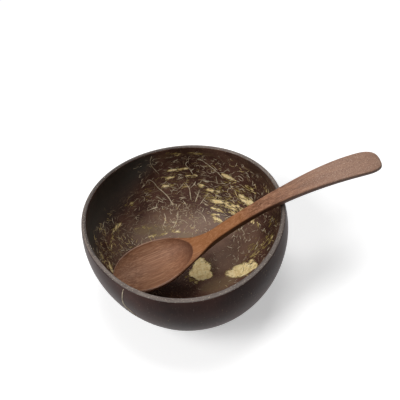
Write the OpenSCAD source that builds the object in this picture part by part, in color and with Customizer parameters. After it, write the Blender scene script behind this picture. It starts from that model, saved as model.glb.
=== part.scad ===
// Coconut shell bowl with a carved wooden spoon lying in it.
// Millimetres. The origin is the middle of the sanded flat underneath, with +Z up.
// The spoon's handle leaves over the rim towards +X, and its head lies on the wall at the -X side.

/* [Shell] */
// Outer diameter of the rim, before its ridges and its oval shape
rim_d = 135; // [110:1:160]
// How far the belly stands out past the rim, all round
belly_out = 1.6; // [0.5:0.1:5]
// Height of the rim above the table
bowl_h = 68; // [55:1:80]
// Diameter of the flat sanded underneath
base_d = 40; // [30:1:56]
// Wall at the rim
rim_wall = 3.3; // [2.4:0.1:5]
// Thickness of the floor in the middle
floor_t = 5; // [2.5:0.1:6]
// Radius of the rounded edges of the rim
rim_round = 0.9; // [0.4:0.1:1.1]
// How far the nut's three ridges stand out
ridge_h = 1.3; // [0:0.1:3]
// Direction of the first ridge
ridge_az = 28.5; // [0:0.5:119.5]
// How far the long way of the oval rim stands out
oval_h = 1.4; // [0:0.1:4]
// Direction of the long way of the oval
oval_az = 114.5; // [0:0.5:179.5]
// How far the hollow lies off centre, which makes the wall thicker in front
hollow_shift = 0.5; // [0:0.1:0.8]

/* [Spoon head] */
// Length of the head, from the tip to where its oval would close
head_l = 58.5; // [45:0.5:70]
// Width of the head
head_w = 35.6; // [28:0.2:44]
// Depth of the head, from its rim plane to its keel
head_t = 11.5; // [9:0.5:15]
// Depth of the spoon's hollow
dish_t = 8; // [5:0.5:10]
// Width of the land round the hollow
land_w = 1.8; // [1:0.1:3]
// Radius that softens the spoon's upper edges
edge_round = 0.9; // [0.4:0.1:1.5]

/* [Spoon handle] */
// Length of the spoon, along the plane of its head
spoon_l = 192.6; // [170:0.2:220]
// Width of the neck, where the spoon is narrowest
neck_w = 8.4; // [7:0.1:12]
// Thickness of the neck
neck_t = 9; // [6:0.1:11]
// Distance from the tip to the start of the handle's rise
rise_at = 62; // [58:0.5:72]
// Height of the handle's arch above the plane of the head
arch_h = 24.6; // [16:0.2:32]
// Distance from the tip to the top of the arch
arch_at = 151; // [130:1:160]
// Drop of the handle's end below the top of the arch
end_drop = 7.5; // [2:0.5:14]
// Width of the handle near its end
end_w = 17; // [11:0.1:20]
// Thickness of the handle at its end
end_t = 7; // [4.5:0.1:8]
// Length over which the end is rounded
end_l = 15; // [14:1:26]

/* [Spoon in the bowl] */
// Length of the spoon from its tip to the rim, as a share of the hollow's width there
rest_share = 0.99; // [0.9:0.005:1]
// Direction of the place on the rim that it lies on
rest_az = -1.6; // [-10:0.1:10]
// Heading of the handle
heading = 8.7; // [0:0.1:20]
// Roll of the spoon about its length
roll = 10; // [0:0.5:16]
// Clearance of the spoon where it lies on the shell
seat_gap = 0.3; // [0.2:0.05:0.5]

/* [Hidden] */

// Counts of facets, and the steps of angle between the stations of the head and of the end
around_count = 96;
outer_count = 15;
inner_count = 17;
round_count = 3;
head_step = 9;
handle_count = 26;
end_step = 15;
under_count = 16;
skin_skip = 2;

// Shell: an ellipse turned about the Z axis, cut by the table and by the rim's plane
rim_r = rim_d / 2;
belly_r = rim_r + belly_out;
base_r = base_d / 2;
rim_lean = acos(rim_r / belly_r);
base_lean = acos(base_r / belly_r);
belly_half = bowl_h / (sin(rim_lean) + sin(base_lean));
belly_z = belly_half * sin(base_lean);

// Hollow: a second ellipse about the same level, as deep as the floor allows, with a small
// flat at its pole
hollow_half = belly_z - floor_t;
hollow_lean = asin((bowl_h - belly_z) / hollow_half);
hollow_r = (rim_r - rim_wall) / cos(hollow_lean);
pole_lean = 4;

// Spoon: stations along its length
head_mid = head_l / 2;
egg_share = 0.1;
join_share = 0.79;
dish_mid = head_mid;
dish_half = head_mid - land_w;
dish_w = head_w / 2 - land_w;
join_at = join_share * head_l;
run_share = 0.52;
neck_at = join_at + run_share * head_l;
widen_share = 0.5;
widen_at = widen_share * spoon_l;
end_at = spoon_l - end_l;
fan_run_share = 5;
fan_l = fan_run_share * land_w;
fan_share = 0.16;

// A point of each ellipse, as its distance from the axis and its height above the table
function outer_pt(lean) = [belly_r * cos(lean), belly_z + belly_half * sin(lean)];
function inner_pt(lean) = [hollow_r * cos(lean), belly_z + hollow_half * sin(lean)];
function mix(a, b, share) = a + (b - a) * share;
function ease(share) = share <= 0 ? 0 : share >= 1 ? 1 : share * share * (3 - 2 * share);

// Outline of the nut as a share of its mean radius: three ridges and a slight oval
ridge_count = 3;
oval_count = 2;
function nut_share(az) =
    1 + (ridge_h * cos(ridge_count * (az - ridge_az))
        + oval_h * cos(oval_count * (az - oval_az))) / rim_r;

// Section of the shell, from the flat up the outside, over the rim and down to the floor
rim_outer = rim_r - rim_round;
rim_inner = rim_r - rim_wall + rim_round;
rim_low = bowl_h - rim_round;
outer_low = asin((rim_low - belly_z) / belly_half);
inner_low = asin((rim_low - belly_z) / hollow_half);
shell_section = concat(
    [for (i = [0 : outer_count - 1]) outer_pt(mix(-base_lean, outer_low, i / outer_count))],
    [for (i = [0 : round_count]) let (a = 90 * i / round_count)
        [mix(rim_outer, outer_pt(outer_low)[0], cos(a)), rim_low + rim_round * sin(a)]],
    [for (i = [0 : round_count]) let (a = 90 * i / round_count)
        [mix(rim_inner, inner_pt(inner_low)[0], sin(a)), rim_low + rim_round * cos(a)]],
    [for (i = [1 : inner_count]) inner_pt(mix(inner_low, pole_lean - 90, i / inner_count))]
);
outer_rows = outer_count + round_count + 1;

// A closed skin over rings of points, all of the same count, with flat ends
module skin(rings) {
    wide = len(rings[0]);
    high = len(rings);
    points = [for (ring = rings) for (p = ring) p];
    sides = [for (i = [0 : high - 2]) for (j = [0 : wide - 1]) let (k = (j + 1) % wide)
        each [[i * wide + j, (i + 1) * wide + j, (i + 1) * wide + k],
              [i * wide + j, (i + 1) * wide + k, i * wide + k]]];
    first = [for (j = [0 : wide - 1]) j];
    last = [for (j = [wide - 1 : -1 : 0]) (high - 1) * wide + j];
    polyhedron(points, concat(sides, [first, last]), convexity = 6);
}

function shell_ring(i) = [for (j = [0 : around_count - 1])
    let (
        az = 360 * j / around_count,
        p = shell_section[i],
        r = p[0] * nut_share(az),
        shift = i < outer_rows ? 0 : hollow_shift * min(1, p[0] / hollow_r)
    )
    [r * cos(az), r * sin(az) + shift, p[1]]];

module bowl_shell() {
    color("#3a2a24")
        skin([for (i = [0 : len(shell_section) - 1]) shell_ring(i)]);
}

// Half width of the spoon: an egg-shaped head, a smooth run into the neck, and a widening handle
function head_half(x) = let (s = (x - head_mid) / head_mid)
    head_w / 2 * sqrt(max(0, 1 - s * s)) * (1 - egg_share * s);
function run(x, from_x, to_x, from_v, to_v, from_slope) =
    let (s = (x - from_x) / (to_x - from_x), s2 = s * s, s3 = s2 * s)
    from_v * (2 * s3 - 3 * s2 + 1) + from_slope * (to_x - from_x) * (s3 - 2 * s2 + s)
        + to_v * (3 * s2 - 2 * s3);
tiny_share = 0.001;
tiny = tiny_share * head_l;
join_slope = (head_half(join_at) - head_half(join_at - tiny)) / tiny;
end_power = 3;
function end_share(x) =
    x <= end_at ? 1 : pow(max(0, 1 - pow((x - end_at) / end_l, end_power)), 1 / end_power);
function half_w(x) =
    x < join_at ? head_half(x) :
    x < neck_at ? run(x, join_at, neck_at, head_half(join_at), neck_w / 2, join_slope) :
    mix(neck_w, end_w, ease((x - widen_at) / (end_at + end_l / 2 - widen_at))) / 2 * end_share(x);

// Thickness: an oval keel under the head, then a handle that thins towards its end
function keel(x) = let (s = (x - head_mid) / head_mid) head_t * sqrt(max(0, 1 - s * s));
keel_slope = (keel(join_at) - keel(join_at - tiny)) / tiny;
function thick(x) =
    x < join_at ? keel(x) :
    x < neck_at ? run(x, join_at, neck_at, keel(join_at), neck_t, keel_slope) :
    mix(neck_t, end_t, (x - neck_at) / (spoon_l - neck_at)) * sqrt(end_share(x));

// Height of the upper face: level over the head, then a parabola, softened where it starts
function arch(x) = x < arch_at
    ? arch_h * (1 - pow((arch_at - x) / (arch_at - rise_at), 2))
    : arch_h - end_drop * pow((x - arch_at) / (spoon_l - arch_at), 2);
soft_share = 3;
soft_h = soft_share * edge_round;
function top_z(x) = (arch(x) + norm([arch(x), soft_h])) / 2 - end_t / 2 * (1 - sqrt(end_share(x)));

// Hollow of the head, and how its edge runs on as a plain line along the handle
function dish_span(x) = (x - dish_mid) / dish_half;
function dish_half_w(x) = let (s = dish_span(x))
    dish_w * sqrt(max(0, 1 - s * s)) * (1 - egg_share * s);
function fan(x) = let (off = abs(x - dish_mid) - dish_half)
    (half_w(x) - min(land_w, half_w(x) / 2)) * mix(fan_share, 1, ease(off / fan_l));
function inside_w(x) = max(dish_half_w(x), fan(x));
dish_power = 0.6;
function dish_z(x, s) = dish_t * pow(max(0, 1 - pow(dish_span(x), 2)), dish_power)
    * pow(max(0, 1 - s * s), dish_power) * min(1, dish_half_w(x) / fan(x));
across_shares = [0.94, 0.82, 0.62, 0.34, 0, -0.34, -0.62, -0.82, -0.94];
land_shares = [0.85, 0.5, 0];
land_power = 4;
under_power = 0.78;
edge_share = 1 / 3;

// One ring of the spoon: round its underside, then over the land, the hollow and the other land
function spoon_ring(x) =
    let (
        w = half_w(x), t = thick(x), z = top_z(x), wi = inside_w(x),
        edge = min(edge_round, edge_share * t),
        square = x < join_at ? 1 : mix(1, under_power, ease((x - join_at) / (neck_at - join_at)))
    )
    concat(
        [for (i = [0 : under_count]) let (a = 180 * i / under_count)
            [x, -w * sign(cos(a)) * pow(abs(cos(a)), square),
                z - edge - (t - edge) * pow(sin(a), square)]],
        [for (f = land_shares) [x, mix(wi, w, f), z - edge * pow(f, land_power)]],
        [for (s = across_shares) [x, wi * s, z - dish_z(x, s)]],
        [for (i = [len(land_shares) - 1 : -1 : 0]) let (f = land_shares[i])
            [x, -mix(wi, w, f), z - edge * pow(f, land_power)]]
    );

tip_share = 0.0025;
tail_share = 0.01;
first_x = tip_share * head_l;
last_x = spoon_l - tail_share * end_l;
head_stations = concat(
    [first_x, land_w / 4, land_w / 2],
    [for (a = [0 : head_step : 180]) dish_mid - dish_half * cos(a)]
);
dish_end = dish_mid + dish_half;
handle_stations = [for (i = [1 : handle_count]) mix(dish_end, end_at, i / handle_count)];
end_stations = [for (a = [end_step : end_step : 90 - end_step]) end_at + end_l * sin(a)];
stations = concat(head_stations, handle_stations, end_stations, [last_x]);

// Where the spoon lies: its underside on the rim at rest_at, and its head lowered onto the wall.
// The width is that of the chord across the hollow's mouth, along the spoon's heading.
far_az = 180 + 2 * heading - rest_az;
mouth_w = (rim_r - rim_wall) * (nut_share(rest_az) + nut_share(far_az)) * cos(heading - rest_az);
rest_at = rest_share * mouth_w;
seat_r = (rim_r - rim_wall) * nut_share(rest_az);
seat = [seat_r * cos(rest_az), seat_r * sin(rest_az), bowl_h + seat_gap];
anchor = [rest_at, 0, top_z(rest_at) - thick(rest_at)];
function pitched(p, b) = [p[0] * cos(b) - p[2] * sin(b), p[1], p[0] * sin(b) + p[2] * cos(b)];
function rolled(p) = [p[0], p[1] * cos(roll) - p[2] * sin(roll), p[1] * sin(roll) + p[2] * cos(roll)];
function headed(p) =
    [p[0] * cos(heading) - p[1] * sin(heading), p[0] * sin(heading) + p[1] * cos(heading), p[2]];
function placed(p, b) = seat + headed(rolled(pitched(p - anchor, b)));

// The flats of the faceted hollow stand in from the true ellipse by this much
facet_sag = hollow_r * (1 - cos(180 / around_count))
    + hollow_half * (1 - cos((inner_low + 90 - pole_lean) / inner_count / 2));
wall_gap = seat_gap + facet_sag;

// How near a point is to the wall of the hollow, where 1 is a clearance away from it
function fill_share(p) =
    let (y = p[1] - hollow_shift, r = norm([p[0], y]) / nut_share(atan2(y, p[0])))
    pow(r / (hollow_r - wall_gap), 2) + pow((p[2] - belly_z) / (hollow_half - wall_gap), 2);
head_skin = [for (x = head_stations) for (i = [0 : skin_skip : under_count]) spoon_ring(x)[i]];
function reach(b) = max([for (p = head_skin) fill_share(placed(p, b))]);

// Pitch of the spoon: the first free one coming down from the steepest, then halved steps to it
steepest = 50;
flattest = -30;
pitch_step = 2;
settle_count = 12;
function first_free(b) = b <= flattest || reach(b) < 1 ? b : first_free(b - pitch_step);
function settle(low, high, n) = n == 0 ? low :
    let (b = (low + high) / 2) reach(b) < 1 ? settle(b, high, n - 1) : settle(low, b, n - 1);
free_pitch = first_free(steepest);
pitch = settle(free_pitch, free_pitch + pitch_step, settle_count);

module spoon() {
    color("#8f5f43")
        translate(seat) rotate([0, 0, heading]) rotate([roll, 0, 0]) rotate([0, -pitch, 0])
            translate(-anchor)
                skin([for (x = stations) spoon_ring(x)]);
}

bowl_shell();
spoon();
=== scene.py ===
"""A coconut shell bowl with a carved wooden spoon lying in it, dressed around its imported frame.

Lengths are in metres, worked out from named values in millimetres. The origin is the middle of the
flat underneath, +Z is up, and the spoon's handle leaves over the rim towards +X.
"""

import math
import random
from bisect import bisect_right

import bpy
import numpy as np
from mathutils import Euler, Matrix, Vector, noise


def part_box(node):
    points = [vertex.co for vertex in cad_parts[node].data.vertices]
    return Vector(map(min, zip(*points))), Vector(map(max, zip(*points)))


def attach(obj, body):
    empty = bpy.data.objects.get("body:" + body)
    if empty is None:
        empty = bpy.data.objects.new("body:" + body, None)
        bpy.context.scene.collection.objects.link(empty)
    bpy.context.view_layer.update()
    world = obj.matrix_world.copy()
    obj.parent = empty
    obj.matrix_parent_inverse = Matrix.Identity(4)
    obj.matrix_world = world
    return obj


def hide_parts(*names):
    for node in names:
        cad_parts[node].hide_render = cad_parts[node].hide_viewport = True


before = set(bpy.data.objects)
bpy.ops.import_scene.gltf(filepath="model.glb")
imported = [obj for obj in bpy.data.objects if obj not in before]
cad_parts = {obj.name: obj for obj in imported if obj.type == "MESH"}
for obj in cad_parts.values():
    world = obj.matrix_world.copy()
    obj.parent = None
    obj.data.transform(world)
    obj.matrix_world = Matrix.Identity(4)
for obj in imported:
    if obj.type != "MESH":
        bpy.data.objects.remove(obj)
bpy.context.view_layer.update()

MM = 0.001

# Shell sizes in mm: an ellipse turned about Z, cut by the table and by the plane of the rim
RIM_D = 135
BELLY_OUT = 1.6
BOWL_H = 68
BASE_D = 40
RIM_WALL = 3.3
FLOOR_T = 5
RIM_ROUND = 0.9
FOOT_ROUND = 1.2
RIDGE_COUNT = 3
RIDGE_H = 1.3
RIDGE_AZ = 28.5
OVAL_H = 1.4
OVAL_AZ = 114.5
HOLLOW_SHIFT = 0.5
UNEVEN_H = 0.12
UNEVEN_W = 16
AROUND = 400
OUTER_ROWS = 56
INNER_ROWS = 118
ROUND_ROWS = 6
BASE_ROWS = 6
# How far from the rim and from the foot the unevenness is full, and how close points are merged
RIM_FADE = 4
FOOT_FADE = 8
MERGE_GAP = 0.02

RIM_R = RIM_D / 2
BASE_R = BASE_D / 2
BELLY_R = RIM_R + BELLY_OUT
BASE_LEAN = math.acos(BASE_R / BELLY_R)
BELLY_HALF = BOWL_H / (math.sin(math.acos(RIM_R / BELLY_R)) + math.sin(BASE_LEAN))
BELLY_Z = BELLY_HALF * math.sin(BASE_LEAN)
HOLLOW_HALF = BELLY_Z - FLOOR_T
HOLLOW_R = (RIM_R - RIM_WALL) / math.cos(math.asin((BOWL_H - BELLY_Z) / HOLLOW_HALF))

# Spoon sizes in mm, with lengths measured from its tip
HEAD_L = 58.5
HEAD_W = 35.6
HEAD_T = 11.5
DISH_T = 8
LAND_W = 1.0
EDGE_ROUND = 0.9
SPOON_L = 192.6
NECK_W = 8.4
NECK_T = 9
RISE_AT = 62
ARCH_H = 24.6
ARCH_AT = 151
END_DROP = 7.5
END_W = 17
END_T = 7
END_L = 15
HEADING = 8.7
ROLL = 10
MOST_PITCH = 30
PITCH_TRIES = 30
EGG_SHARE = 0.1
RISE_ROUND = 3 * EDGE_ROUND
JOIN_AT = 0.79 * HEAD_L
NECK_AT = JOIN_AT + 0.52 * HEAD_L
WIDEN_AT = 0.5 * SPOON_L
END_AT = SPOON_L - END_L


def mix(a, b, share):
    """The value a share of the way from a to b."""
    return a + (b - a) * share


def ease(share):
    """A share from 0 to 1 with a soft start and a soft end."""
    share = min(1, max(0, share))
    return share * share * (3 - 2 * share)


# Modelling helpers


def pick(piece):
    """Selects one piece alone and makes it the active one."""
    bpy.ops.object.select_all(action="DESELECT")
    piece.select_set(True)
    bpy.context.view_layer.objects.active = piece


def begin(name, add, **settings):
    """Adds a primitive with nothing else selected, and names it."""
    bpy.ops.object.select_all(action="DESELECT")
    add(**settings)
    piece = bpy.context.object
    piece.name = name
    piece.data.name = name
    return piece


def edit(piece):
    """Opens a piece in edit mode with all of it selected."""
    pick(piece)
    bpy.ops.object.mode_set(mode="EDIT")
    bpy.ops.mesh.select_all(action="SELECT")


def settle():
    """Applies the active piece's own place and turn, so that its object sits at the origin."""
    bpy.ops.object.mode_set(mode="OBJECT")
    bpy.ops.object.transform_apply(location=True, rotation=True, scale=True)


def finish_with(piece, kind, **settings):
    """Adds a modifier and applies it."""
    pick(piece)
    modifier = piece.modifiers.new(kind.lower(), kind)
    for name, value in settings.items():
        setattr(modifier, name, value)
    bpy.ops.object.modifier_apply(modifier=modifier.name)


def shade_smooth(piece):
    """Shades all the faces of a piece as one smooth surface."""
    for face in piece.data.polygons:
        face.use_smooth = True


def store(piece, name, values, kind="FLOAT"):
    """Keeps one number or one vector for each vertex, for the materials to read."""
    attribute = piece.data.attributes.new(name, kind, "POINT")
    key = "vector" if kind == "FLOAT_VECTOR" else "value"
    attribute.data.foreach_set(key, np.asarray(values, np.float32).ravel())


# Shell


def outer_pt(lean):
    """A point of the outside, as radius and height, by its angle on the ellipse."""
    return BELLY_R * math.cos(lean), BELLY_Z + BELLY_HALF * math.sin(lean)


def inner_pt(lean):
    """A point of the hollow, in the same way."""
    return HOLLOW_R * math.cos(lean), BELLY_Z + HOLLOW_HALF * math.sin(lean)


def shell_section():
    """The shell's section as radius and height, from the hollow's pole over the rim to the base."""
    rim_low = BOWL_H - RIM_ROUND
    inner_low = math.asin((rim_low - BELLY_Z) / HOLLOW_HALF)
    outer_low = math.asin((rim_low - BELLY_Z) / BELLY_HALF)
    foot_low = -math.acos((BASE_R + FOOT_ROUND / 2) / BELLY_R)
    points = [inner_pt(mix(-math.pi / 2, inner_low, i / INNER_ROWS)) for i in range(INNER_ROWS)]
    rim_inner = RIM_R - RIM_WALL + RIM_ROUND
    rim_outer = RIM_R - RIM_ROUND
    for i in range(ROUND_ROWS + 1):
        turn = math.pi / 2 * i / ROUND_ROWS
        radius = mix(rim_inner, inner_pt(inner_low)[0], math.cos(turn))
        points.append((radius, rim_low + RIM_ROUND * math.sin(turn)))
    for i in range(1, ROUND_ROWS):
        points.append((mix(rim_inner, rim_outer, i / ROUND_ROWS), BOWL_H))
    for i in range(ROUND_ROWS + 1):
        turn = math.pi / 2 * i / ROUND_ROWS
        radius = mix(rim_outer, outer_pt(outer_low)[0], math.sin(turn))
        points.append((radius, rim_low + RIM_ROUND * math.cos(turn)))
    points += [outer_pt(mix(outer_low, foot_low, i / OUTER_ROWS)) for i in range(1, OUTER_ROWS + 1)]
    foot_r = BASE_R - FOOT_ROUND / 2
    points += [(foot_r + FOOT_ROUND / 4, FOOT_ROUND / 16)]
    points += [(foot_r * (1 - i / BASE_ROWS), 0) for i in range(BASE_ROWS + 1)]
    return points


SECTION = shell_section()
# How far each point of the section is along it, from the hollow's pole
REACH = [0.0]
for before, after in zip(SECTION, SECTION[1:]):
    REACH.append(REACH[-1] + math.dist(before, after))
RIM_FROM = REACH[INNER_ROWS]
RIM_TO = REACH[INNER_ROWS + 3 * ROUND_ROWS]


def nut_share(az):
    """Outline of the nut as a share of its mean radius: three ridges and a slight oval."""
    ridges = RIDGE_H * math.cos(math.radians(RIDGE_COUNT * (az - RIDGE_AZ)))
    oval = OVAL_H * math.cos(math.radians(2 * (az - OVAL_AZ)))
    return 1 + (ridges + oval) / RIM_R


def wall_point(reach, az, lift=0.0):
    """A place on the shell in metres, by its distance along the section and its direction."""
    reach = min(max(reach, 0.0), REACH[-1] - 1e-6)
    i = min(bisect_right(REACH, reach), len(REACH) - 1)
    share = (reach - REACH[i - 1]) / (REACH[i] - REACH[i - 1])
    (r0, z0), (r1, z1) = SECTION[i - 1], SECTION[i]
    step = math.dist((r0, z0), (r1, z1))
    out_r, out_z = -(z1 - z0) / step, (r1 - r0) / step
    radius = mix(r0, r1, share)
    height = mix(z0, z1, share)
    turn = math.radians(az)
    spot = Vector((radius * math.cos(turn), radius * math.sin(turn), height))
    beside_rim = min(abs(reach - RIM_FROM), abs(reach - RIM_TO))
    on_wall = ease(beside_rim / RIM_FADE) * ease((REACH[-1] - reach - BASE_R) / FOOT_FADE)
    if RIM_FROM < reach < RIM_TO:
        on_wall = 0
    dip = UNEVEN_H * (noise.noise(spot / UNEVEN_W) - 1) * on_wall
    lift += dip if reach > RIM_TO else -dip
    radius = (radius + out_r * lift) * nut_share(az)
    height += out_z * lift
    shift = HOLLOW_SHIFT * min(1, radius / HOLLOW_R) if reach < RIM_FROM + RIM_WALL / 2 else 0
    return Vector((radius * math.cos(turn), radius * math.sin(turn) + shift, height)) * MM


def build_shell():
    """Draws the section by extruding a point, spins it, and bends the shell to the nut's outline."""
    r, z = SECTION[0]
    start = (r * MM, 0, z * MM)
    shell = begin("coconut_shell", bpy.ops.mesh.primitive_plane_add, size=MM, location=start)
    settle()
    edit(shell)
    bpy.ops.mesh.merge(type="CENTER")
    for before, after in zip(SECTION, SECTION[1:]):
        step = ((after[0] - before[0]) * MM, 0, (after[1] - before[1]) * MM)
        bpy.ops.mesh.extrude_vertices_move(TRANSFORM_OT_translate={"value": step})
    bpy.ops.mesh.select_all(action="SELECT")
    bpy.ops.mesh.spin(steps=AROUND, angle=math.tau, center=(0, 0, 0), axis=(0, 0, 1))
    bpy.ops.mesh.select_all(action="SELECT")
    bpy.ops.mesh.remove_doubles(threshold=MERGE_GAP * MM)
    bpy.ops.mesh.normals_make_consistent(inside=False)
    settle()
    shape_wall(shell)
    return shell


def shape_wall(shell):
    """Moves each vertex of the round shell to its place on the nut, and stores what the finishes read."""
    heights = np.array([z for r, z in SECTION])
    radii = np.array([r for r, z in SECTION])
    reaches = []
    turns = []
    for vertex in shell.data.vertices:
        x, y, z = vertex.co / MM
        row = int(np.argmin((radii - math.hypot(x, y)) ** 2 + (heights - z) ** 2))
        reaches.append(REACH[row])
        turns.append(math.degrees(math.atan2(y, x)))
        vertex.co = wall_point(reaches[-1], turns[-1])
    reach = np.array(reaches)
    az = np.array(turns)
    around = RIM_R * MM
    place = np.stack([reach * MM, around * np.cos(np.radians(az)), around * np.sin(np.radians(az))], axis=1)
    store(shell, "wall_place", place, "FLOAT_VECTOR")
    store(shell, "rim_tone", [rim_tone(*spot) for spot in zip(reaches, turns)])
    for name, strokes in STROKES.items():
        store(shell, name, stroke_field(strokes, reach, az))


# For each direction, how pale the cut rim is and the shares of its width that are darker on the
# inner side and on the outer side, the outer share at the front being painted shade on the rounding,
# over a soft edge
RIM_BLUR = 0.2
RIM_LOOK = (
    (-180, 0.9, 0.5, 0.0),
    (-165, 0.9, 0.45, 0.15),
    (-150, 0.9, 0.1, 0.3),
    (-120, 0.85, 0.05, 0.25),
    (-100, 0.75, 0.05, 0.25),
    (-60, 0.65, 0.25, 0.25),
    (-35, 0.55, 0.0, 0.2),
    (-12, 0.6, 0.4, 0.0),
    (30, 1.1, 0.25, 0.0),
    (65, 1.1, 0.1, 0.0),
    (100, 0.6, 0.35, 0.0),
    (135, 0.22, 0.5, 0.0),
    (165, 0.6, 0.4, 0.0),
    (180, 0.9, 0.5, 0.0),
)


def rim_tone(reach, az):
    """How pale a place on the rim is, from 0 for dark to about 1."""
    across = (reach - RIM_FROM) / (RIM_TO - RIM_FROM)
    i = next(i for i in range(1, len(RIM_LOOK)) if az <= RIM_LOOK[i][0])
    before, after = RIM_LOOK[i - 1], RIM_LOOK[i]
    share = (az - before[0]) / (after[0] - before[0])
    tone, inner, outer = (mix(a, b, ease(share)) for a, b in zip(before[1:], after[1:]))
    past_inner = ease((across - inner) / RIM_BLUR + 0.5)
    return tone * past_inner * ease((1 + RIM_BLUR / 2 - outer - across) / RIM_BLUR)


# Strokes on the inner wall, in degrees of direction and mm up the wall from its middle: where each
# starts, where it ends, its width in mm and its strength. First the pale skin of the flesh.
FLESH_STROKES = (
    (94, 100, 84, 97, 4, 0.62),
    (82, 98, 72, 97, 3, 0.6),
    (94, 83, 82, 83, 3, 0.85),
    (99, 77, 92, 77, 3, 0.85),
    (101, 72, 93, 71, 2.4, 0.9),
    (83, 77, 77, 77, 3.4, 0.95),
    (86, 69, 82, 69, 2.4, 0.8),
    (76, 70, 72, 69, 3.2, 0.8),
    (69, 67, 58, 66, 3.2, 0.95),
    (59, 80, 50, 78, 3.5, 1.0),
    (42, 77, 34, 76, 4.6, 0.85),
    (44, 68, 33, 68, 6.5, 0.92),
    (67, 59, 52, 60, 3.4, 0.95),
    (52, 58, 39, 60, 5.2, 0.95),
    (48, 54, 43, 55, 3, 0.9),
    (64, 54, 51, 53, 3, 0.88),
    (61, 47, 52, 46, 3, 0.95),
    (65, 49, 56, 50, 1.8, 0.9),
    (27, 57, 23, 58, 2.6, 0.9),
    (21, 60, 17, 59, 2.2, 0.8),
    (27, 86, 21, 85, 4, 0.9),
    (129, 43, 111, 38, 2.2, 1.0),
    (105, 38, 96, 37, 2, 1.0),
    (130, 52, 117, 46, 2.6, 0.5),
    (2, 56, 0, 67, 7.5, 0.66),
    (-1, 44, -2, 58, 6.2, 0.62),
    (-14.5, 27, -15.5, 46.5, 10, 2.2),
    (-9, 36, -9, 45, 7, 1.15),
    (70, 2, -13, 10.5, 9.5, 2.4),
    (56, 12, 0, 7, 11, 2.6),
    (-175, 5, -80, 7, 5, 0.6),
    (149, 65, 140, 64, 2.6, 1.0),
    (157, 63, 151, 64, 2.4, 0.85),
    (165, 61, 159, 62, 2.4, 0.85),
    (175, 63, 183, 61, 4.2, 0.9),
    (172, 70, 180, 66, 2.4, 0.8),
    (129, 71, 120, 68, 2.6, 0.55),
    (66, 62, 36, 74, 26, 0.36),
    (110, 70, 76, 84, 22, 0.24),
    (4, 44, 8, 78, 18, 0.3),
    (222, 66, 236, 67, 4, 0.85),
    (280, 60, 292, 62, 6, 1.0),
    (298, 55, 308, 56, 4, 0.95),
    (300, 76, 318, 74, 4.5, 0.8),
    (256, 84, 268, 85, 3.6, 0.75),
    (205, 50, 215, 47, 4, 0.8),
)
# Greenish stains
OLIVE_STROKES = (
    (134, 52, 104, 40, 9, 0.8),
    (98, 33, 84, 33, 9, 0.7),
    (100, 97, 66, 97, 9, 0.5),
    (112, 74, 80, 76, 16, 0.35),
    (170, 62, 138, 64, 10, 0.4),
    (60, 10, 10, 12, 24, 0.5),
    (225, 60, 280, 62, 20, 0.5),
    (-62, 15, -30, 29, 15, 0.7),
)
# Upper-left wall without fibres, laid over with a cool grey as painted shade from the rim
RIM_SHADE_STROKES = (
    (168, 88, 112, 96, 34, 1.0),
    (186, 84, 168, 88, 26, 0.8),
)
# Wall painted paler, partly by wear and partly as a painted sheen, where its specular is raised too
WEAR_AND_SHEEN_STROKES = (
    (135, 46, 76, 40, 30, 0.85),
    (76, 40, 40, 42, 20, 0.6),
    (20, 24, 2, 30, 22, 0.6),
    (45, 26, 12, 40, 16, 0.4),
    (172, 52, 135, 52, 24, 0.4),
    (12, 36, 20, 54, 24, 0.35),
    (-85, 50, -40, 50, 24, 0.35),
    (-62, 15, -30, 29, 15, 0.5),
    (215, 62, 268, 62, 24, 0.4),
)
STROKES = {"flesh": FLESH_STROKES, "olive": OLIVE_STROKES, "wear_and_sheen": WEAR_AND_SHEEN_STROKES, "smooth": RIM_SHADE_STROKES}
# A stroke fades out at this many times half its width, and is narrower by this share at its ends
STROKE_EDGE = 1.5
STROKE_TAPER = 0.4


def wall_spots(reach, az):
    """Places on the plain round wall, as rows of x, y and z in mm."""
    reach = np.atleast_1d(reach)
    turn = np.radians(np.atleast_1d(az))
    radius = np.interp(reach, REACH, [r for r, z in SECTION])
    height = np.interp(reach, REACH, [z for r, z in SECTION])
    return np.stack([radius * np.cos(turn), radius * np.sin(turn), height], axis=1)


def stroke_field(strokes, reach, az):
    """How deep places lie in the nearest stroke, from 0 outside to its strength along its middle."""
    rows = np.array(strokes, float)
    spots = wall_spots(reach, az)
    best = np.zeros(len(spots))
    starts = wall_spots(rows[:, 1], rows[:, 0])
    ends = wall_spots(rows[:, 3], rows[:, 2])
    for start, end, width, strength in zip(starts, ends, rows[:, 4], rows[:, 5]):
        run = end - start
        share = np.clip((spots - start) @ run / (run @ run), 0, 1)
        gap = np.linalg.norm(spots - start - share[:, None] * run, axis=1)
        half = width / 2 * (1 - STROKE_TAPER * (2 * share - 1) ** 2)
        best = np.maximum(best, np.clip(STROKE_EDGE - gap / half, 0, 1) * strength)
    best[np.atleast_1d(reach) > RIM_FROM] = 0
    return best


# Fibres in mm. Real husk fibres are about half as thick as these radii make them, and too fine to show.
LONG_R = 0.33
VEIN_R = 0.45
SHORT_R = (0.12, 0.26)
FIBRE_STEP = 0.9
# How far a fibre's middle lies under the wall as a share of its radius, and how thick its ends are
FIBRE_SUNK = 0.25
SHORT_END = 0.35
LONG_END = 0.4
# How much a short fibre wavers at each step in radians, and the least radius that it turns round
WAVER = 0.13
POLE_R = 6
FIBRES_FROM = 1.5
FIBRES_TO = RIM_FROM - 0.8
# A short fibre is golden on a patch that is at least this strong
GOLDEN_FROM = 0.4
CURLED_SHARE = 0.3


def add_strand(strands, places, radius, end, kind):
    """Adds a strand through places on the wall, thinner towards both ends and half sunk in."""
    spline = strands.splines.new("POLY")
    spline.points.add(len(places) - 1)
    spline.material_index = kind
    for point, (az, reach, share) in zip(spline.points, places):
        point.radius = radius * (end + (1 - end) * math.sin(math.pi * share) ** 0.5)
        point.co = (*wall_point(reach, az, -FIBRE_SUNK * point.radius), 1)


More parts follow.
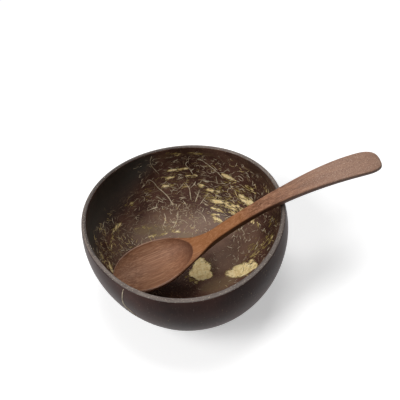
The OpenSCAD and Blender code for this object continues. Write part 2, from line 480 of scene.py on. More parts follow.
def fibre(strands, start, heading, length, bend, radius, kind, wander):
    """Adds a short fibre that wavers along the wall and stops short of the rim and the floor's middle."""
    reach, az = start
    steps = max(4, int(length / FIBRE_STEP))
    step = length / steps
    places = []
    for i in range(steps + 1):
        places.append((az, reach, i / steps))
        around = max(POLE_R, RIM_R * math.sin(min(reach / RIM_R, math.pi / 2)))
        heading += math.radians(bend) / steps + wander.gauss(0, WAVER)
        az += math.degrees(step * math.cos(heading) / around)
        reach += step * math.sin(heading)
        if not FIBRES_FROM < reach < FIBRES_TO:
            break
    add_strand(strands, places, radius, SHORT_END, kind)


def traced_fibre(strands, route, radius, kind):
    """Adds a long fibre through places given as direction and distance up the wall."""
    points = []
    for (az0, s0), (az1, s1) in zip(route, route[1:]):
        count = max(2, int(math.hypot(az1 - az0, s1 - s0)))
        points += [(mix(az0, az1, i / count), mix(s0, s1, i / count)) for i in range(count)]
    points.append(route[-1])
    for turn in range(3):
        points = [points[0]] + [
            tuple((a + 2 * b + c) / 4 for a, b, c in zip(*group))
            for group in zip(points, points[1:], points[2:])
        ] + [points[-1]]
    places = [(az, reach, i / (len(points) - 1)) for i, (az, reach) in enumerate(points)]
    add_strand(strands, places, radius, LONG_END, kind)


# Long fibres on the inner wall, as directions and distances up the wall
LONG_FIBRES = (
    ((103, 101), (104.5, 95), (103.5, 89), (100.5, 82)),
    ((107.5, 80), (105, 77), (104, 72.5), (101, 68), (98, 62.5), (96.5, 56)),
    ((73.5, 91.5), (69, 87), (65, 83), (61.5, 80), (58.5, 77)),
    ((85.5, 73), (82, 67.5), (82, 62.5), (81.5, 58.5)),
    ((81.5, 67.5), (78, 70.5), (77.5, 72.5)),
    ((84, 77), (82.5, 75), (84, 72)),
    ((81, 89.5), (83.5, 87), (80.5, 82), (79, 78)),
    ((78.5, 57), (77, 60.5), (75.5, 64.5), (74.5, 66.5)),
    ((72.5, 73), (67.5, 73), (63.5, 73), (62, 72), (56.5, 73.5)),
    ((62, 72), (63, 74.5), (63.5, 77.5)),
    ((117, 59), (113, 59), (108, 58.5)),
    ((102.5, 40.5), (96.5, 45), (94.5, 48.5), (93.5, 52)),
    ((102.5, 47.5), (100.5, 43.5), (96.5, 45)),
    ((95, 46), (90, 44.5), (86.5, 41.5)),
    ((73.5, 49), (69.5, 46.5), (68, 43.5), (66, 41.5)),
    ((105.5, 53), (105.5, 48.5), (111, 44.5)),
    ((74.5, 55.5), (71.5, 59.5), (68.5, 63.5)),
    ((72.5, 49.5), (71, 53)),
    ((48, 83), (44, 82), (44.5, 80)),
    ((88, 59), (86, 55.5)),
    ((106.5, 66.5), (104.5, 64), (103, 61.5)),
)


# Pale veins on the outside near its front left, down from the rim
VEINS = tuple(
    tuple((az, RIM_TO + down) for az, down in route)
    for route in (
        ((-131.2, 0.2), (-132, 3), (-132.6, 6.5), (-133, 10)),
        ((-132.6, 6), (-133.6, 13), (-133.4, 19), (-130.5, 22), (-128, 25), (-126.5, 30)),
    )
)
FIBRE_COLOURS = (
    ("husk_fibre_brown", "#8f7a62"),
    ("husk_fibre_grey", "#c4b294"),
    ("husk_fibre_cream", "#eadcbc"),
    ("husk_fibre_golden", "#e2c888"),
)
# Zones of short fibres: directions from and to, distances up the wall from and to in mm, how many, lean
# and spread in degrees from the way round the bowl, the longest in mm, and the colours found there
FIBRE_ZONES = (
    (32, 72, 44, 96, 260, 0, 18, 4.5, (1, 2, 2, 3)),
    (70, 112, 44, 98, 280, 0, 20, 4.5, (0, 1, 1, 2)),
    (112, 185, 40, 78, 230, 0, 25, 4.5, (0, 0, 1)),
    (140, 200, 38, 80, 280, 80, 40, 4.5, (1, 2, 3, 3)),
    (76, 112, 34, 58, 130, 0, 90, 2.0, (2, 2, 3)),
    (-35, 34, 28, 98, 340, 70, 45, 4.0, (0, 1, 2, 2)),
    (60, 135, 18, 48, 150, 0, 50, 3.5, (0, 1, 2, 2)),
    (-180, 180, 4, 30, 90, 0, 60, 3.0, (0, 1)),
    (185, 325, 28, 98, 320, 0, 30, 5.0, (0, 0, 1, 3)),
)


def build_fibres():
    """Fibres of the husk that the sanding laid bare, as fine strands half sunk in the wall."""
    strands = bpy.data.curves.new("shell_fibres", "CURVE")
    strands.dimensions = "3D"
    strands.bevel_depth = MM
    strands.bevel_resolution = 0
    strands.use_fill_caps = True
    for name, code in FIBRE_COLOURS:
        strands.materials.append(fibre_finish(name, code))
    wander = random.Random(11)
    for route in LONG_FIBRES:
        traced_fibre(strands, route, LONG_R, 2)
    for route in VEINS:
        traced_fibre(strands, route, VEIN_R, 2)
    for az_from, az_to, low, high, count, lean, spread, longest, kinds in FIBRE_ZONES:
        for n in range(count):
            az = wander.uniform(az_from, az_to)
            reach = wander.uniform(low, high)
            curled = wander.random() < CURLED_SHARE
            heading = wander.uniform(0, math.tau) if curled else math.radians(wander.gauss(lean, spread))
            length = longest * (wander.uniform(0.5, 1.4) if curled else wander.uniform(0.3, 1))
            bend = wander.gauss(0, 110) if curled else wander.gauss(0, 25)
            kind = wander.choice(kinds)
            if stroke_field(FLESH_STROKES, reach, az)[0] > GOLDEN_FROM:
                kind = 3
            fibre(strands, (reach, az), heading, length, bend, wander.uniform(*SHORT_R), kind, wander)
    fibres = bpy.data.objects.new("shell_fibres", strands)
    bpy.context.scene.collection.objects.link(fibres)
    pick(fibres)
    bpy.ops.object.convert(target="MESH")
    fibres = bpy.context.object
    edit(fibres)
    bpy.ops.mesh.remove_doubles(threshold=MERGE_GAP / 10 * MM)
    bpy.ops.mesh.normals_make_consistent(inside=False)
    bpy.ops.object.mode_set(mode="OBJECT")
    shade_smooth(fibres)
    return fibres


# Spoon


def head_half(x):
    """Half the width of the head, an oval that is wider towards its tip."""
    s = (x - HEAD_L / 2) / (HEAD_L / 2)
    return HEAD_W / 2 * math.sqrt(max(0, 1 - s * s)) * (1 - EGG_SHARE * s)


def keel(x):
    """Depth of the head, from its rim plane down."""
    s = (x - HEAD_L / 2) / (HEAD_L / 2)
    return HEAD_T * math.sqrt(max(0, 1 - s * s))


def run(x, rise, end):
    """A smooth run from the head's curve, with its slope, to a level value at the neck."""
    tiny = HEAD_L / 1000
    slope = (rise(JOIN_AT) - rise(JOIN_AT - tiny)) / tiny
    s = (x - JOIN_AT) / (NECK_AT - JOIN_AT)
    level = rise(JOIN_AT) * (2 * s**3 - 3 * s**2 + 1) + end * (3 * s**2 - 2 * s**3)
    return level + slope * (NECK_AT - JOIN_AT) * (s**3 - 2 * s**2 + s)


def end_share(x):
    """1 along the spoon, and down to 0 round the handle's end."""
    return 1 if x <= END_AT else max(0, 1 - ((x - END_AT) / END_L) ** 3) ** (1 / 3)


def half_w(x):
    """Half the width of the spoon."""
    if x < JOIN_AT:
        return head_half(x)
    if x < NECK_AT:
        return run(x, head_half, NECK_W / 2)
    return mix(NECK_W, END_W, ease((x - WIDEN_AT) / (END_AT + END_L / 2 - WIDEN_AT))) / 2 * end_share(x)


def thick(x):
    """Thickness of the spoon, or the depth of its head."""
    if x < JOIN_AT:
        return keel(x)
    if x < NECK_AT:
        return run(x, keel, NECK_T)
    return mix(NECK_T, END_T, (x - NECK_AT) / (SPOON_L - NECK_AT)) * math.sqrt(end_share(x))


def top_z(x):
    """Height of its top line: level over the head, then an arch."""
    if x < ARCH_AT:
        arch = ARCH_H * (1 - ((ARCH_AT - x) / (ARCH_AT - RISE_AT)) ** 2)
    else:
        arch = ARCH_H - END_DROP * ((x - ARCH_AT) / (SPOON_L - ARCH_AT)) ** 2
    return (arch + math.hypot(arch, RISE_ROUND)) / 2 - END_T / 2 * (1 - math.sqrt(end_share(x)))


DISH_MID = HEAD_L / 2
DISH_HALF = DISH_MID - LAND_W
DISH_POWER = 0.7
FAN_SHARE = 0.16
FAN_L = 5 * LAND_W
# How far past the hollow and the lip in mm their finishes reach, and how deep the head counts as hollow
HOLLOW_SLACK = 0.5
LIP_SLACK = 0.15
HOLLOW_TO = 0.8 * HEAD_T
# The painted shade on the handle's sides and underneath: how far it takes to begin, how far down it starts,
# and its blur
SIDE_SHADE_FADE = 12
SIDE_SHADE_DROP = 0.25
SIDE_SHADE_BLUR = 0.7


def dish_half_w(x):
    """Half the width of the hollow."""
    s = (x - DISH_MID) / DISH_HALF
    return (HEAD_W / 2 - LAND_W) * math.sqrt(max(0, 1 - s * s)) * (1 - EGG_SHARE * s)


def fan(x):
    """Half the width that the hollow's grid takes up, narrow outside the hollow's ends."""
    off = abs(x - DISH_MID) - DISH_HALF
    return (half_w(x) - min(LAND_W, half_w(x) / 2)) * mix(FAN_SHARE, 1, ease(off / FAN_L))


def dish_z(x, across):
    """Depth of the hollow at a share of its half width."""
    along = (x - DISH_MID) / DISH_HALF
    depth = DISH_T * (max(0, 1 - along**2) * max(0, 1 - across**2)) ** DISH_POWER
    return depth * min(1, dish_half_w(x) / fan(x))


def in_hollow(x, y, z):
    """1 inside the spoon's hollow and 0 outside it."""
    above = z > max(top_z(x) - DISH_T - HOLLOW_SLACK, -HOLLOW_TO)
    return 1.0 if above and abs(y) < dish_half_w(x) else 0.0


def on_lip(x, y, z):
    """1 on the thin lip round the spoon's hollow and 0 elsewhere."""
    top = z > top_z(x) - EDGE_ROUND
    return 1.0 if top and x < DISH_MID + DISH_HALF and abs(y) > dish_half_w(x) - LIP_SLACK else 0.0


def in_side_shade(x, y, z):
    """1 on the handle's sides and underneath, which are painted in shade, and 0 on its top."""
    return ease((x - JOIN_AT) / SIDE_SHADE_FADE) * ease((top_z(x) - SIDE_SHADE_DROP - z) / SIDE_SHADE_BLUR)


UNDER_COUNT = 30
ACROSS_COUNT = 22
LAND_SHARES = (0.92, 0.75, 0.5, 0.25, 0)
UNDER_POWER = 0.78
HEAD_RINGS = 40
HANDLE_RINGS = 62
END_RINGS = 12
TIP_GAP = 0.05
# The plain bar that is shaped into the spoon has this radius, with a fan of faces at each end
BAR_R = 1


def spoon_ring(x):
    """One ring of the spoon: round its underside, then over the land, the hollow and the other land."""
    w, t, z = half_w(x), thick(x), top_z(x)
    inside = max(dish_half_w(x), fan(x))
    edge = min(EDGE_ROUND, t / 3)
    square = mix(1, UNDER_POWER, ease((x - JOIN_AT) / (NECK_AT - JOIN_AT)))
    ring = []
    for i in range(UNDER_COUNT + 1):
        turn = math.pi * i / UNDER_COUNT
        side = math.copysign(abs(math.cos(turn)) ** square, math.cos(turn))
        ring.append((x, -w * side, z - edge - (t - edge) * math.sin(turn) ** square))
    for share in LAND_SHARES:
        ring.append((x, mix(inside, w, share), z - edge * share**4))
    for i in range(1, ACROSS_COUNT):
        across = math.cos(math.pi * i / ACROSS_COUNT)
        ring.append((x, inside * across, z - dish_z(x, across)))
    for share in reversed(LAND_SHARES):
        ring.append((x, -mix(inside, w, share), z - edge * share**4))
    return ring


def spoon_stations():
    """Places along the spoon: close together round the tip, the hollow's edge and the end."""
    first = [TIP_GAP, 0.25 * LAND_W, 0.5 * LAND_W, 0.75 * LAND_W, LAND_W]
    turns = [math.pi * i / HEAD_RINGS for i in range(1, HEAD_RINGS + 1)]
    head = [DISH_MID - DISH_HALF * math.cos(turn) for turn in turns]
    handle = [mix(DISH_MID + DISH_HALF, END_AT, i / HANDLE_RINGS) for i in range(1, HANDLE_RINGS + 1)]
    end = [END_AT + END_L * math.sin(math.pi / 2 * i / END_RINGS) for i in range(1, END_RINGS)]
    return first + head + handle + end + [SPOON_L - TIP_GAP]


def build_spoon():
    """Extrudes a ring from the tip to the handle's end, and shapes each ring."""
    stations = spoon_stations()
    count = len(spoon_ring(HEAD_L / 2))
    spoon = begin(
        "carved_spoon",
        bpy.ops.mesh.primitive_circle_add,
        vertices=count,
        radius=BAR_R * MM,
        fill_type="TRIFAN",
        location=(stations[0] * MM, 0, 0),
        rotation=(math.pi / 2, 0, math.pi / 2),
    )
    settle()
    edit(spoon)
    for before, after in zip(stations, stations[1:]):
        step = ((after - before) * MM, 0, 0)
        bpy.ops.mesh.extrude_region_move(TRANSFORM_OT_translate={"value": step})
    bpy.ops.mesh.select_all(action="SELECT")
    bpy.ops.mesh.normals_make_consistent(inside=False)
    settle()
    shape_spoon(spoon, stations, count)
    return spoon


def shape_spoon(spoon, stations, count):
    """Moves each vertex of the plain bar to its place on the carved spoon, and lays the spoon down."""
    rings = [spoon_ring(x) for x in stations]
    own = []
    for vertex in spoon.data.vertices:
        x, y, z = vertex.co / MM
        k = min(range(len(stations)), key=lambda i: abs(stations[i] - x))
        ring = rings[k]
        if math.hypot(y, z) < BAR_R / 2:
            own.append([sum(p[i] for p in ring) / count for i in range(3)])
        else:
            own.append(ring[round(math.atan2(-z, -y) / math.tau * count) % count])
    for vertex, place in zip(spoon.data.vertices, own):
        vertex.co = Vector(place) * MM
    finish_with(spoon, "SUBSURF", levels=1, render_levels=1)
    own = np.array([v.co for v in spoon.data.vertices])
    store(spoon, "own_place", own, "FLOAT_VECTOR")
    for name, part in (("hollow", in_hollow), ("lip", on_lip), ("side", in_side_shade)):
        store(spoon, name, [part(*(place / MM)) for place in own])
    for vertex, place in zip(spoon.data.vertices, lay_down(own)):
        vertex.co = place


def lay_down(own):
    """Turns the spoon to its heading and roll, and finds the pitch that fills the frame's box."""
    low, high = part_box("spoon")
    rolled = Euler((math.radians(ROLL), 0, 0)).to_matrix()
    headed = Euler((0, 0, math.radians(HEADING))).to_matrix()

    def turned(pitch):
        pitched = Euler((0, -pitch, 0)).to_matrix()
        return own @ np.array(headed @ rolled @ pitched).T

    least, most = 0.0, math.radians(MOST_PITCH)
    for n in range(PITCH_TRIES):
        pitch = (least + most) / 2
        heights = turned(pitch)[:, 2]
        if heights.max() - heights.min() < high.z - low.z:
            least = pitch
        else:
            most = pitch
    laid = turned(pitch)
    return laid + (np.array(low) + np.array(high) - laid.min(0) - laid.max(0)) / 2


# Materials

SOFT = {"interpolation_type": "SMOOTHSTEP"}


def colour(code):
    """An sRGB hex colour as linear values."""
    parts = [int(code[i : i + 2], 16) / 255 for i in (1, 3, 5)]
    return [p / 12.92 if p <= 0.04045 else ((p + 0.055) / 1.055) ** 2.4 for p in parts] + [1.0]


def add_node(tree, kind, inputs=(), out=0, stops=(), **settings):
    """Adds a node with its settings and gives one of its outputs. Inputs go by their order or, in a
    dict, by name or number, and a socket is linked. Stops are a colour ramp's places and colours."""
    node = tree.nodes.new("ShaderNode" + kind)
    for name, value in settings.items():
        setattr(node, name, value)
    for key, value in inputs.items() if isinstance(inputs, dict) else enumerate(inputs):
        if isinstance(value, bpy.types.NodeSocket):
            tree.links.new(value, node.inputs[key])
        else:
            node.inputs[key].default_value = value
    for place, code in stops[2:]:
        node.color_ramp.elements.new(place)
    for i, (place, code) in enumerate(stops):
        node.color_ramp.elements[i].position = place
        node.color_ramp.elements[i].color = colour(code)
    return node.outputs[out] if node.outputs else node


def new_material(name):
    """An empty material and its node tree."""
    material = bpy.data.materials.new(name)
    material.use_nodes = True
    material.node_tree.nodes.clear()
    return material, material.node_tree


def surface(tree, inputs):
    """Adds the shader with its inputs, and the output that it feeds."""
    shader = add_node(tree, "BsdfPrincipled", inputs)
    add_node(tree, "OutputMaterial", (shader,))


def grain(tree, place, spacing, detail=3.0, rough=0.55, distortion=0.0):
    """A noise whose blotches are about a spacing in mm across, along each of three ways."""
    place = add_node(tree, "Mapping", {"Vector": place, "Scale": [1 / (gap * MM) for gap in spacing]})
    names = ("Vector", "Scale", "Detail", "Roughness", "Distortion")
    return add_node(tree, "TexNoise", dict(zip(names, (place, 1.0, detail, rough, distortion))))


def layered(tree, base, *layers):
    """Lays colours over a base in turn. Each layer is a hex colour and the factors of its strength."""
    for code, strength, *factors in layers:
        for factor in factors:
            strength = add_node(tree, "Math", (strength, factor), operation="MULTIPLY")
        base = add_node(tree, "Mix", {0: strength, 6: base, 7: colour(code)}, 2, data_type="RGBA")
    return base


def inner_wall_finish():
    """Inside of a coconut shell, scraped, sanded and oiled: dark brown, with fine fibres round the
    bowl, tan patches where the skin of the flesh was left, painted shade greying its upper left, and
    paler places, partly wear and partly painted sheen, which also shine more."""
    material, tree = new_material("coconut_shell_inside")
    place = add_node(tree, "TexCoord", out="Object")
    wall = add_node(tree, "Attribute", out="Vector", attribute_name="wall_place")
    # The last of these marks where painted shade from the rim greys the upper-left wall
    flesh, stained, wear_and_sheen, smooth = [
        add_node(tree, "Attribute", out="Fac", attribute_name=name)
        for name in ("flesh", "olive", "wear_and_sheen", "smooth")
    ]
    clouds = grain(tree, place, (22, 22, 22), 3)
    streaks = grain(tree, wall, (0.7, 6, 6), 4, 0.65, 0.4)
    specks = grain(tree, place, (0.9, 0.9, 0.9), 2, 0.6)
    murky = add_node(tree, "Math", (streaks, 0.9, stained), operation="MULTIPLY_ADD")
    streaky, speckled, olive = [
        add_node(tree, "MapRange", spread, **SOFT)
        for spread in ((streaks, 0.5, 0.75), (specks, 0.62, 0.74), (murky, 0.7, 1.35))
    ]
    streaked = add_node(tree, "MapRange", {0: streaks, 3: 0.35, 4: 0.9})
    stops = ((0.3, "#341f1a"), (0.5, "#4d332b"), (0.72, "#684a3e"))
    base = layered(
        tree,
        add_node(tree, "ValToRGB", (clouds,), stops=stops),
        # Paler in places: partly real wear, partly a painted sheen
        ("#8f7460", wear_and_sheen, streaked),
        ("#7a604a", streaky),
        ("#a08a6c", speckled),
        # Painted shade from the rim: a cool grey over the upper-left wall
        ("#545450", smooth, 0.85),
        ("#7a6746", olive, 0.5),
    )
    # The patches fray round the bowl, but up the wall at the right and every way on the floor
    axes = add_node(tree, "SeparateXYZ", (wall,)).node.outputs
    rightwards = add_node(tree, "MapRange", (axes["Y"], 0.75 * RIM_R * MM, 0.92 * RIM_R * MM), **SOFT)
    floorwards = add_node(tree, "MapRange", (axes["X"], 20 * MM, 13 * MM), **SOFT)
    frays = grain(tree, wall, (0.65, 6, 6), 3, 0.6, 0.5)
    risen = grain(tree, wall, (7, 1.3, 1.3), 4, 0.65, 0.5)
    tangled = grain(tree, place, (2.6, 0.7, 0.8), 4, 0.6, 0.8)
    frays = add_node(tree, "Mix", {0: rightwards, 2: frays, 3: risen})
    frays = add_node(tree, "Mix", {0: floorwards, 2: frays, 3: tangled})
    frays = add_node(tree, "Math", (frays, 0.5), operation="SUBTRACT")
    lobes = grain(tree, place, (7, 7, 7), 2, 0.6)
    lobes = add_node(tree, "Math", (lobes, 2.5, -0.3), operation="MULTIPLY_ADD")
    flesh = add_node(tree, "Math", (flesh, lobes), operation="MULTIPLY")
    whole = add_node(tree, "MapRange", (flesh, 0.9, 1.35, 1.0, 0.3), **SOFT)
    amount = add_node(tree, "MapRange", {0: flesh, 3: 1.8, 4: 5.0})
    amount = add_node(tree, "Math", (amount, whole), operation="MULTIPLY")
    ragged = add_node(tree, "Math", (flesh, 0.8), operation="MULTIPLY")
    ragged = add_node(tree, "Math", (frays, amount, ragged), operation="MULTIPLY_ADD")
    ragged = add_node(tree, "Math", (specks, 0.5, ragged), operation="MULTIPLY_ADD")
    patch = add_node(tree, "MapRange", (ragged, 0.78, 0.87), **SOFT)
    fresh = add_node(tree, "MapRange", (flesh, 0.45, 0.95), **SOFT)
    mottled = grain(tree, place, (2.2, 2.2, 2.2), 4, 0.7)
    full, thin = [
        add_node(tree, "ValToRGB", (mottled,), stops=stops)
        for stops in (
            ((0.3, "#d2b478"), (0.5, "#f2daa0"), (0.7, "#fdf0c6")),
            ((0.3, "#7d6a3a"), (0.6, "#ac9850")),
        )
    ]
    tan = add_node(tree, "Mix", {0: fresh, 6: thin, 7: full}, 2, data_type="RGBA")
    base = add_node(tree, "Mix", {0: patch, 6: base, 7: tan}, 2, data_type="RGBA")
    rough = add_node(tree, "MapRange", (clouds, 0.2, 0.8, 0.34, 0.46), **SOFT)
    rough = add_node(tree, "Math", (patch, 0.2, rough), operation="MULTIPLY_ADD")
    sheen = add_node(tree, "Math", (wear_and_sheen, 0.2, 0.09), operation="MULTIPLY_ADD")
    relief = add_node(tree, "Math", (streaks, 0.7), operation="MULTIPLY")
    relief = add_node(tree, "Math", (patch, 0.5, relief), operation="MULTIPLY_ADD")
    bump = add_node(tree, "Bump", {"Height": relief, "Strength": 0.35, "Distance": 0.15 * MM})
    surface(tree, {"Base Color": base, "Roughness": rough, "Specular IOR Level": sheen, "Normal": bump})
    return material


def outer_wall_finish():
    """Outside of a coconut shell, sanded smooth, oiled and buffed: nearly black, with a satin sheen,
    tiny pale pores and faint fibres from the stalk to the tip."""
    material, tree = new_material("coconut_shell_outside")
    place = add_node(tree, "TexCoord", out="Object")
    wall = add_node(tree, "Attribute", out="Vector", attribute_name="wall_place")
    clouds = grain(tree, place, (26, 26, 20), 4)
    lines = grain(tree, wall, (9, 1.1, 1.1), 4, 0.6)
    pores = grain(tree, place, (0.9, 0.9, 0.9), 2, 0.5)
    flecks = grain(tree, wall, (2.4, 0.7, 0.7), 2, 0.5)
    zone = add_node(tree, "MapRange", (grain(tree, place, (15, 15, 15), 2), 0.45, 0.7), **SOFT)
    flecks = add_node(tree, "Math", (zone, 0.07, flecks), operation="MULTIPLY_ADD")
    lined, pored, flecked = [
        add_node(tree, "MapRange", spread, **SOFT)
        for spread in ((lines, 0.5, 0.8), (pores, 0.7, 0.78), (flecks, 0.73, 0.78))
    ]
    stops = ((0.3, "#2a1b19"), (0.55, "#3d2824"), (0.75, "#503732"))
    base = layered(
        tree,
        add_node(tree, "ValToRGB", (clouds,), stops=stops),
        ("#4a3630", lined, 0.4),
        ("#8d8175", pored),
        ("#80694a", flecked, 0.7),
    )
    rough = add_node(tree, "Math", (clouds, 0.2, 0.3), operation="MULTIPLY_ADD")
    bump = add_node(tree, "Bump", {"Height": lines, "Strength": 0.2, "Distance": 0.1 * MM})
    surface(tree, {"Base Color": base, "Roughness": rough, "Specular IOR Level": 0.08, "Normal": bump})
    return material


def rim_finish():
    """Cut edge of a coconut shell, sanded flat: grey-brown end grain with pale pores, darker along its
    edges, and along the outer edge at the front with painted shade."""
    material, tree = new_material("coconut_shell_rim")
    place = add_node(tree, "TexCoord", out="Object")
    wall = add_node(tree, "Attribute", out="Vector", attribute_name="wall_place")
    tone = add_node(tree, "Attribute", out="Fac", attribute_name="rim_tone")
    bands = grain(tree, wall, (0.6, 7, 7), 3)
    pores = grain(tree, place, (0.7, 0.7, 0.7), 2, 0.6)
    pored = add_node(tree, "MapRange", (pores, 0.62, 0.7), **SOFT)
    stops = ((0.3, "#5b4e47"), (0.5, "#6e625b"), (0.7, "#84776f"))
    base = add_node(tree, "ValToRGB", (bands,), stops=stops)
    # Darker where the rim tone is low, which on the outer edge at the front is painted shade
    base = add_node(tree, "Mix", {0: tone, 6: colour("#2e2520"), 7: base}, 2, data_type="RGBA")
    base = layered(tree, base, ("#cdc0ac", pored))
    bump = add_node(tree, "Bump", {"Height": pores, "Strength": 0.25, "Distance": 0.1 * MM})
    surface(tree, {"Base Color": base, "Roughness": 0.55, "Normal": bump})
    return material


def fibre_finish(name, code):
    """Husk fibre, sanded and oiled with the wall: dull and a little uneven in colour."""
    material, tree = new_material(name)
    place = add_node(tree, "TexCoord", out="Object")
    uneven = add_node(tree, "MapRange", (grain(tree, place, (5, 5, 5), 3), 0.3, 0.65), **SOFT)
    darker = [a * b for a, b in zip(colour(code), colour("#8a7a6a"))]
    surface(tree, {"Base Color": layered(tree, darker, (code, uneven)), "Roughness": 0.5})
    return material


def spoon_finish():
    """Reddish-brown tropical hardwood, carved, sanded and oiled: fine straight grain along the spoon,
    short dark pores, painted shade on the handle's sides, a painted highlight on the head's lip,
    painted light in the hollow with painted shade at its neck end, and a paler handle end."""
    material, tree = new_material("oiled_hardwood")
    own = add_node(tree, "Attribute", out="Vector", attribute_name="own_place")
    hollow, lip, side = [
        add_node(tree, "Attribute", out="Fac", attribute_name=name) for name in ("hollow", "lip", "side")
    ]
    along = add_node(tree, "SeparateXYZ", (own,))
    bands = grain(tree, own, (60, 2.6, 2.0), 3, 0.5, 0.3)
    lines = grain(tree, own, (22, 0.42, 0.42), 3, 0.6, 0.25)
    # Real grain lines are finer than these streaks, which are drawn wide enough to show
    streaks = grain(tree, own, (34, 0.85, 0.85), 2, 0.5, 0.2)
    pores = grain(tree, own, (4.5, 0.35, 0.35), 2, 0.5)
    dots = grain(tree, own, (0.9, 0.5, 0.5), 2, 0.6)
    lined, pored, pale_streaks, dark_streaks, dark_dots, pale_dots = [
        add_node(tree, "MapRange", spread, **SOFT)
        for spread in (
            (lines, 0.5, 0.66),
            (pores, 0.58, 0.7),
            (streaks, 0.52, 0.64),
            (streaks, 0.46, 0.36),
            (dots, 0.56, 0.68),
            (dots, 0.42, 0.33),
        )
    ]
    in_shade, lip_highlight_end, neck_from, neck_to, pale = [
        add_node(tree, "MapRange", (along, start * MM, end * MM), **SOFT)
        for start, end in ((36, 50), (46, 34), (45, 60), (112, 88), (105, 170))
    ]
    solid = add_node(tree, "MapRange", {0: hollow, 3: 1.0, 4: 0.0})
    stops = ((0.25, "#603b28"), (0.5, "#80553e"), (0.75, "#996d52"))
    base = layered(
        tree,
        add_node(tree, "ValToRGB", (bands,), stops=stops),
        ("#bb9070", lined, 0.6),
        ("#3d2015", pored, 0.6),
        ("#b98a6a", pale_streaks, 0.5),
        ("#5e3826", dark_streaks, 0.3),
        # The hollow painted lighter, as painted light against the shade it gets, and painted shade at its
        # neck end
        ("#ae8264", hollow, 0.25),
        ("#6a3c26", hollow, in_shade, 0.45),
        # A painted highlight along the lip of the head, fading towards the neck
        ("#b09080", lip, lip_highlight_end, 0.5),
        ("#a5672f", neck_from, solid, neck_to, 0.45),
        ("#ab8a78", pale, 0.7),
        ("#7d6350", pale, dark_dots),
        ("#c6aa98", pale, pale_dots),
        # Painted shade on the handle's sides and underneath
        ("#472a20", side, 0.62),
    )
    relief = add_node(tree, "Math", (lines, pores), operation="SUBTRACT")
    bump = add_node(tree, "Bump", {"Height": relief, "Strength": 0.16, "Distance": 0.12 * MM})
    surface(tree, {"Base Color": base, "Roughness": 0.52, "Specular IOR Level": 0.18, "Normal": bump})
    return material


def dress_shell(shell):
    """Gives the three faces of the wall their finishes, split where the sanded rim begins and ends."""
    for material in (inner_wall_finish(), rim_finish(), outer_wall_finish()):
        shell.data.materials.append(material)
    along = np.zeros(len(shell.data.vertices) * 3, np.float32)
    shell.data.attributes["wall_place"].data.foreach_get("vector", along)
    along = along[::3] / MM
    edge = 0.7 * RIM_ROUND
    for face in shell.data.polygons:
        reach = sum(along[v] for v in face.vertices) / len(face.vertices)
        face.material_index = 0 if reach < RIM_FROM + edge else 1 if reach < RIM_TO - edge else 2
    shade_smooth(shell)


# Studio

CAMERA_AT = (0, -401.7 * MM, 513.7 * MM)
CAMERA_TURN = (42.564, 5.716, -7.966)
CAMERA_LENS = 82.8
SENSOR = 36
FLOOR_SIZE = 6
# Where the floor's shadow ends and its glow is full, in mm from the middle
SHADOW_TO = 150
GLOW_FROM = 500
WORLD_LIGHT = 0.08
# Two square soft boxes in metres and watts: one high at the front left, one overhead
LAMPS = (((-0.75, -0.43, 1.03), 10), ((0.12, 0.2, 1.33), 7))
LAMP_AIM = (0, 0, 0.04)
LAMP_SIZE = 0.6


def add_camera():
    """The photograph's view, from the front and 48 degrees above the rim."""
    turn = [math.radians(a) for a in CAMERA_TURN]
    bpy.ops.object.camera_add(location=CAMERA_AT, rotation=turn)
    camera = bpy.context.object
    camera.data.lens = CAMERA_LENS
    camera.data.sensor_width = SENSOR
    bpy.context.scene.camera = camera


def add_lamp(place, power):
    """A square soft box that points at the middle of the bowl."""
    turn = (Vector(LAMP_AIM) - Vector(place)).to_track_quat("-Z", "Y").to_euler()
    bpy.ops.object.light_add(type="AREA", location=place, rotation=turn)
    lamp = bpy.context.object
    lamp.data.shape = "SQUARE"
    lamp.data.size = LAMP_SIZE
    lamp.data.energy = power


def seen_directly(tree):
    """1 for what the camera sees, straight or through gloss or glass, and 0 for other light."""
    path = add_node(tree, "LightPath").node.outputs
    seen = path["Is Camera Ray"]
    for name in ("Is Glossy Ray", "Is Transmission Ray"):
        seen = add_node(tree, "Math", (seen, path[name]), operation="MAXIMUM")
    return seen


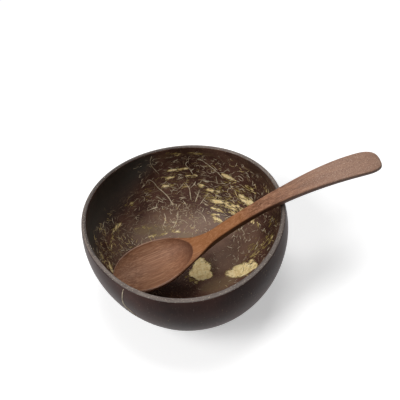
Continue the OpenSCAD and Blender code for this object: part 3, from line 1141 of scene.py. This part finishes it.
def floor_finish():
    """Studio paper, matt white: as seen it glows a little, more so away from the bowl, so that its
    shadow stays pale, and it throws back less light than white paper does."""
    material, tree = new_material("white_paper")
    seen = seen_directly(tree)
    place = add_node(tree, "TexCoord", out="Object")
    away = add_node(tree, "VectorMath", (place,), "Value", operation="LENGTH")
    away = add_node(tree, "MapRange", (away, SHADOW_TO * MM, GLOW_FROM * MM), **SOFT)
    near = layered(tree, colour("#fafafa"), ("#000000", away))
    base = add_node(tree, "Mix", {0: seen, 6: colour("#707070"), 7: near}, 2, data_type="RGBA")
    glow = add_node(tree, "MapRange", {0: away, 3: 0.45, 4: 1.0})
    inputs = {
        "Base Color": base,
        "Roughness": 0.95,
        "Specular IOR Level": 0.0,
        "Emission Color": colour("#ffffff"),
        "Emission Strength": add_node(tree, "Math", (seen, glow), operation="MULTIPLY"),
    }
    surface(tree, inputs)
    return material


def add_floor():
    """A plain white floor, level with the flat underneath."""
    bpy.ops.object.select_all(action="DESELECT")
    bpy.ops.mesh.primitive_plane_add(size=FLOOR_SIZE, location=(0, 0, 0))
    floor = bpy.context.object
    floor.name = "floor"
    floor.data.materials.append(floor_finish())


def add_world():
    """Even light from all round, which the camera, gloss and glass see as plain white."""
    world = bpy.data.worlds.new("studio")
    bpy.context.scene.world = world
    world.use_nodes = True
    tree = world.node_tree
    tree.nodes.clear()
    strength = add_node(tree, "MapRange", {0: seen_directly(tree), 3: WORLD_LIGHT, 4: 1.0})
    light = add_node(tree, "Background", (colour("#ffffff"), strength))
    add_node(tree, "OutputWorld", (light,))


def add_studio():
    """The camera, the floor, the even light and the lamps, with colours shown as they are."""
    add_camera()
    add_floor()
    add_world()
    for place, power in LAMPS:
        add_lamp(place, power)
    bpy.context.scene.view_settings.view_transform = "Standard"


# The pieces

shell = build_shell()
dress_shell(shell)
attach(shell, "bowl")
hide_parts("bowl_shell")

fibres = build_fibres()
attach(fibres, "bowl")

spoon = build_spoon()
spoon.data.materials.append(spoon_finish())
shade_smooth(spoon)
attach(spoon, "spoon")
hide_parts("spoon")

add_studio()
